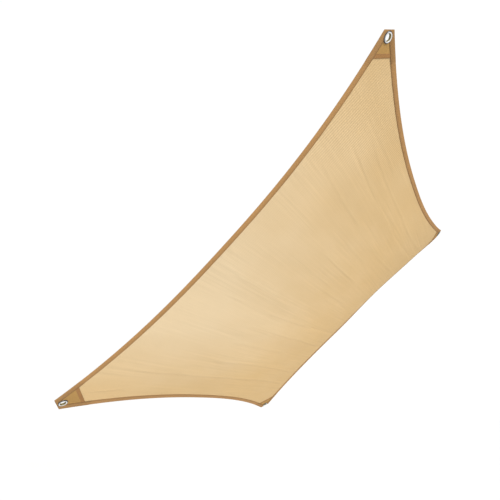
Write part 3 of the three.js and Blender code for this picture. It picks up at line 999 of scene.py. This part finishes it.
class SHADESAIL_OT_stitching(bpy.types.Operator):
    """Adds the sewn rows along the tapes and across the patches"""

    bl_idname = "shade_sail.stitching"
    bl_label = "Stitching"

    def execute(self, context):
        sizes = context.scene.shade_sail_sizes
        sail = Sail(sizes)
        material = thread_finish(context.scene.shade_sail_colours)
        stitch = thread_stitch(sizes.stitch)
        corners = {name: sail.corner(name) for name in CORNERS}
        for edge, ends in EDGES.items():
            rows = [
                self.along_tape(sail, stitch, edge, [corners[name] for name in ends], from_lip, side)
                for from_lip in TAPE_ROWS
                for side in FACES
            ]
            made[f"thread_{edge}"] = fit(join(rows, f"thread_{edge}"), material, "tape")
        for name, corner in corners.items():
            rows = [
                self.across_patch(sail, stitch, corner, from_base, side)
                for from_base in PATCH_ROWS
                for side in FACES
            ]
            made[f"thread_{name}"] = fit(join(rows, f"thread_{name}"), material, "patch")
        bpy.data.objects.remove(stitch)
        return {"FINISHED"}

    def along_tape(self, sail, stitch, edge, corners, from_lip, side):
        """A sewn row on one face of a tape, from mitre to mitre and clear of the eyelets."""
        sizes = sail.sizes
        count = round(sail.edge_length(edge) / sizes.stitch)
        share = (np.arange(count) + 0.5) / count
        inward = np.full(count, sizes.tape_width - abs(OFF_MIDDLE[edge]) - from_lip)
        height = side * (tape_height(sail, edge, share) + sizes.tape_thickness / 2)
        middles, normals = on_tape(sail, edge, share, inward, height)
        ahead, _ = on_tape(sail, edge, share + NUDGE, inward, height)
        ways = ahead - middles
        ways /= np.linalg.norm(ways, axis=1, keepdims=True)
        outer, way = sail.edge(edge, share)
        plan = outer + way * inward[:, None]
        keep = np.ones(count, bool)
        # The edge lies to the right of its first corner's middle line and to the left of its second's.
        for corner, turn in zip(corners, (1, -1)):
            off = plan - corner["tip"]
            keep &= turn * (off @ corner["sideways"]) < -CLEAR_OF["mitre"]
            keep &= off @ corner["inward"] > corner["blunt"] + CLEAR_OF["metal"]
            from_eyelet = np.linalg.norm(off - corner["inward"] * corner["eyelet"], axis=1)
            keep &= from_eyelet > sizes.eyelet_flange / 2 + CLEAR_OF["metal"]
        return sewn_row(stitch, middles[keep], ways[keep], side * normals[keep])

    def across_patch(self, sail, stitch, corner, from_base, side):
        """A sewn row on one face of a patch, along its base."""
        depth = corner["base"] - from_base
        half = depth * math.tan(PATCH_ROW["angle"]) - PATCH_ROW["short"]
        count = round(2 * half / sail.sizes.stitch)
        along = (np.arange(count) + 0.5) / count * 2 * half - half
        height = side * (sail.sizes.cloth_thickness / 2 + PATCH_ROW["height"])

        def at(way):
            plan = corner["tip"] + corner["inward"] * depth + way[:, None] * corner["sideways"]
            return sail.points(*sail.place_of(plan), height)

        middles, normals = at(along)
        ways = at(along + NUDGE)[0] - middles
        ways /= np.linalg.norm(ways, axis=1, keepdims=True)
        return sewn_row(stitch, middles, ways, side * normals)


# An eyelet's section, as radii and heights in millimetres: from halfway down its bore, up and over
# the upper flange, and back under it to the barrel. The lower half is its mirror.
EYELET_SECTION = (
    (11.0, 0.0),
    (11.0, 1.6),
    (11.2, 3.0),
    (11.8, 4.3),
    (12.7, 5.2),
    (13.9, 5.85),
    (15.2, 6.05),
    (16.6, 5.85),
    (17.9, 5.25),
    (18.9, 4.4),
    (19.5, 3.4),
    (19.3, 3.0),
    (15.0, 2.95),
    (12.1, 2.95),
    (12.0, 2.4),
)
EYELET_SIDES = 72
# Edges of the metal that turn by less than this are smooth.
SMOOTH_BELOW = math.radians(40)


class SHADESAIL_OT_eyelets(bpy.types.Operator):
    """Adds a turned metal eyelet with rolled flanges in each corner"""

    bl_idname = "shade_sail.eyelets"
    bl_label = "Eyelets"

    def execute(self, context):
        sail = Sail(context.scene.shade_sail_sizes)
        material = metal_finish(context.scene.shade_sail_colours)
        turned = self.turned()
        for name in CORNERS:
            piece = turned.copy()
            piece.data = turned.data.copy()
            piece.name = piece.data.name = f"eyelet_ring_{name}"
            context.collection.objects.link(piece)
            piece.data.transform(sail.corner(name)["seat"])
            made[f"eyelet_{name}"] = fit(piece, material, "eyelet", f"eyelet_{name}")
        bpy.data.objects.remove(turned)
        return {"FINISHED"}

    def turned(self):
        """An eyelet round the Z axis: a circle, extruded and resized along the section."""
        below = [(radius, -height) for radius, height in reversed(EYELET_SECTION[1:])]
        (radius, height), *rest = [*EYELET_SECTION, *below, EYELET_SECTION[0]]
        bpy.ops.object.select_all(action="DESELECT")
        bpy.ops.mesh.primitive_circle_add(vertices=EYELET_SIDES, radius=radius * MM, calc_uvs=False)
        piece = bpy.context.object
        with editing(piece):
            bpy.ops.mesh.select_mode(type="VERT")
            bpy.ops.mesh.select_all(action="SELECT")
            for new_radius, new_height in rest:
                move = (0, 0, (new_height - height) * MM)
                bpy.ops.mesh.extrude_region_move(TRANSFORM_OT_translate={"value": move})
                grow = new_radius / radius
                bpy.ops.transform.resize(value=(grow, grow, 1), center_override=(0, 0, new_height * MM))
                radius, height = new_radius, new_height
            bpy.ops.mesh.select_all(action="SELECT")
            bpy.ops.mesh.remove_doubles(threshold=TOUCHING)
            bpy.ops.mesh.normals_make_consistent(inside=False)
        bpy.ops.object.shade_smooth_by_angle(angle=SMOOTH_BELOW)
        points = [piece.data.vertices[loop.vertex_index].co for loop in piece.data.loops]
        pattern = [(point.to_2d().length, point.z) for point in points]
        piece.data.uv_layers.new(name="UVMap").data.foreach_set("uv", np.ravel(pattern))
        return piece


# The lamps: the direction that each lies in, and the angle over which its light is spread.
LAMP_DISTANCE = 4
LAMPS = {
    "top": {"towards": (-0.17, -0.31, 0.93), "spread": 0.45},
    "side": {"towards": (0.39, 0.907, 0.146), "spread": 0.20},
}
# The camera: its place from the middle of the sail's plane, and how far up from level and how far
# round from +Y it looks, in degrees. Its lens and sensor are in millimetres.
CAMERA = {"place": (1.7570, 0.7800, -0.5810), "up": 25.13, "round": 122.9}
LENS = {"lens": 23.83, "sensor_width": 36, "clip_end": 100}


class SHADESAIL_OT_stage(bpy.types.Operator):
    """Sets the floor, the lights and the camera"""

    bl_idname = "shade_sail.stage"
    bl_label = "Stage"

    def execute(self, context):
        scene = context.scene
        stage = scene.shade_sail_stage
        colours = scene.shade_sail_colours
        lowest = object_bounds()[0][2]
        self.floor(lowest - stage.floor_drop, stage.floor_size, floor_finish(colours))
        self.sky(scene, stage, colours.sky)
        for name, lamp in LAMPS.items():
            self.lamp(f"{name}_light", getattr(stage, f"{name}_strength"), **lamp)
        self.camera(scene, -Sail(scene.shade_sail_sizes).origin)
        scene.view_settings.view_transform = "Standard"
        return {"FINISHED"}

    def floor(self, height, size, material):
        """A level floor below the sail."""
        bpy.ops.object.select_all(action="DESELECT")
        bpy.ops.mesh.primitive_plane_add(size=size, location=(0, 0, height))
        floor = bpy.context.object
        floor.name = "floor"
        floor.data.materials.append(material)
        floor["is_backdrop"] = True

    def sky(self, scene, stage, tone):
        """An even light all round, before a backdrop that is brighter than the light it gives."""
        scene.world = bpy.data.worlds.new("sky")
        scene.world.use_nodes = True
        tree = scene.world.node_tree
        background = tree.nodes["Background"]
        background.inputs["Color"].default_value = (*tone, 1)
        path = tree.nodes.new("ShaderNodeLightPath")
        strength = tree.nodes.new("ShaderNodeMapRange")
        strength.inputs["To Min"].default_value = stage.sky_strength
        strength.inputs["To Max"].default_value = stage.backdrop_strength
        tree.links.new(path.outputs["Is Camera Ray"], strength.inputs["Value"])
        tree.links.new(strength.outputs["Result"], background.inputs["Strength"])

    def lamp(self, name, power, towards, spread):
        """A soft light from far off."""
        light = bpy.data.lights.new(name, "SUN")
        light.energy = power
        light.angle = spread
        lamp = bpy.data.objects.new(name, light)
        lamp.location = Vector(towards) * LAMP_DISTANCE
        lamp.rotation_euler = Vector(towards).to_track_quat("Z", "Y").to_euler()
        bpy.context.collection.objects.link(lamp)

    def camera(self, scene, centre):
        """Below the high right corner, looking up along the sail's underside."""
        camera = bpy.data.objects.new("camera", bpy.data.cameras.new("camera"))
        for setting, value in LENS.items():
            setattr(camera.data, setting, value)
        camera.location = centre + Vector(CAMERA["place"])
        camera.rotation_euler = (math.radians(90 + CAMERA["up"]), 0, math.radians(CAMERA["round"]))
        bpy.context.collection.objects.link(camera)
        scene.camera = camera


class SHADESAIL_PT_panel(bpy.types.Panel):
    bl_idname = "SHADESAIL_PT_panel"
    bl_label = "Shade Sail"
    bl_space_type = "VIEW_3D"
    bl_region_type = "UI"
    bl_category = "Shade Sail"

    def draw(self, context):
        scene = context.scene
        for group in (scene.shade_sail_sizes, scene.shade_sail_colours, scene.shade_sail_stage):
            box = self.layout.box()
            for name in group.__annotations__:
                box.prop(group, name)
        for operator in OPERATORS:
            self.layout.operator(operator.bl_idname)


GROUPS = {
    "shade_sail_sizes": ShadeSailSizes,
    "shade_sail_colours": ShadeSailColours,
    "shade_sail_stage": ShadeSailStage,
}
OPERATORS = (
    SHADESAIL_OT_cloth,
    SHADESAIL_OT_tapes,
    SHADESAIL_OT_patches,
    SHADESAIL_OT_stitching,
    SHADESAIL_OT_eyelets,
    SHADESAIL_OT_stage,
)
CLASSES = (*GROUPS.values(), *OPERATORS, SHADESAIL_PT_panel)


def register():
    for cls in CLASSES:
        bpy.utils.register_class(cls)
    for name, group in GROUPS.items():
        setattr(bpy.types.Scene, name, bpy.props.PointerProperty(type=group))


def unregister():
    for name in GROUPS:
        delattr(bpy.types.Scene, name)
    for cls in reversed(CLASSES):
        bpy.utils.unregister_class(cls)


def main():
    register()
    bpy.ops.shade_sail.cloth()
    bpy.ops.shade_sail.tapes()
    bpy.ops.shade_sail.patches()
    bpy.ops.shade_sail.stitching()
    bpy.ops.shade_sail.eyelets()
    bpy.ops.shade_sail.stage()
    [piece for name, piece in made.items() if name != "cloth"]


if __name__ == "__main__":
    main()
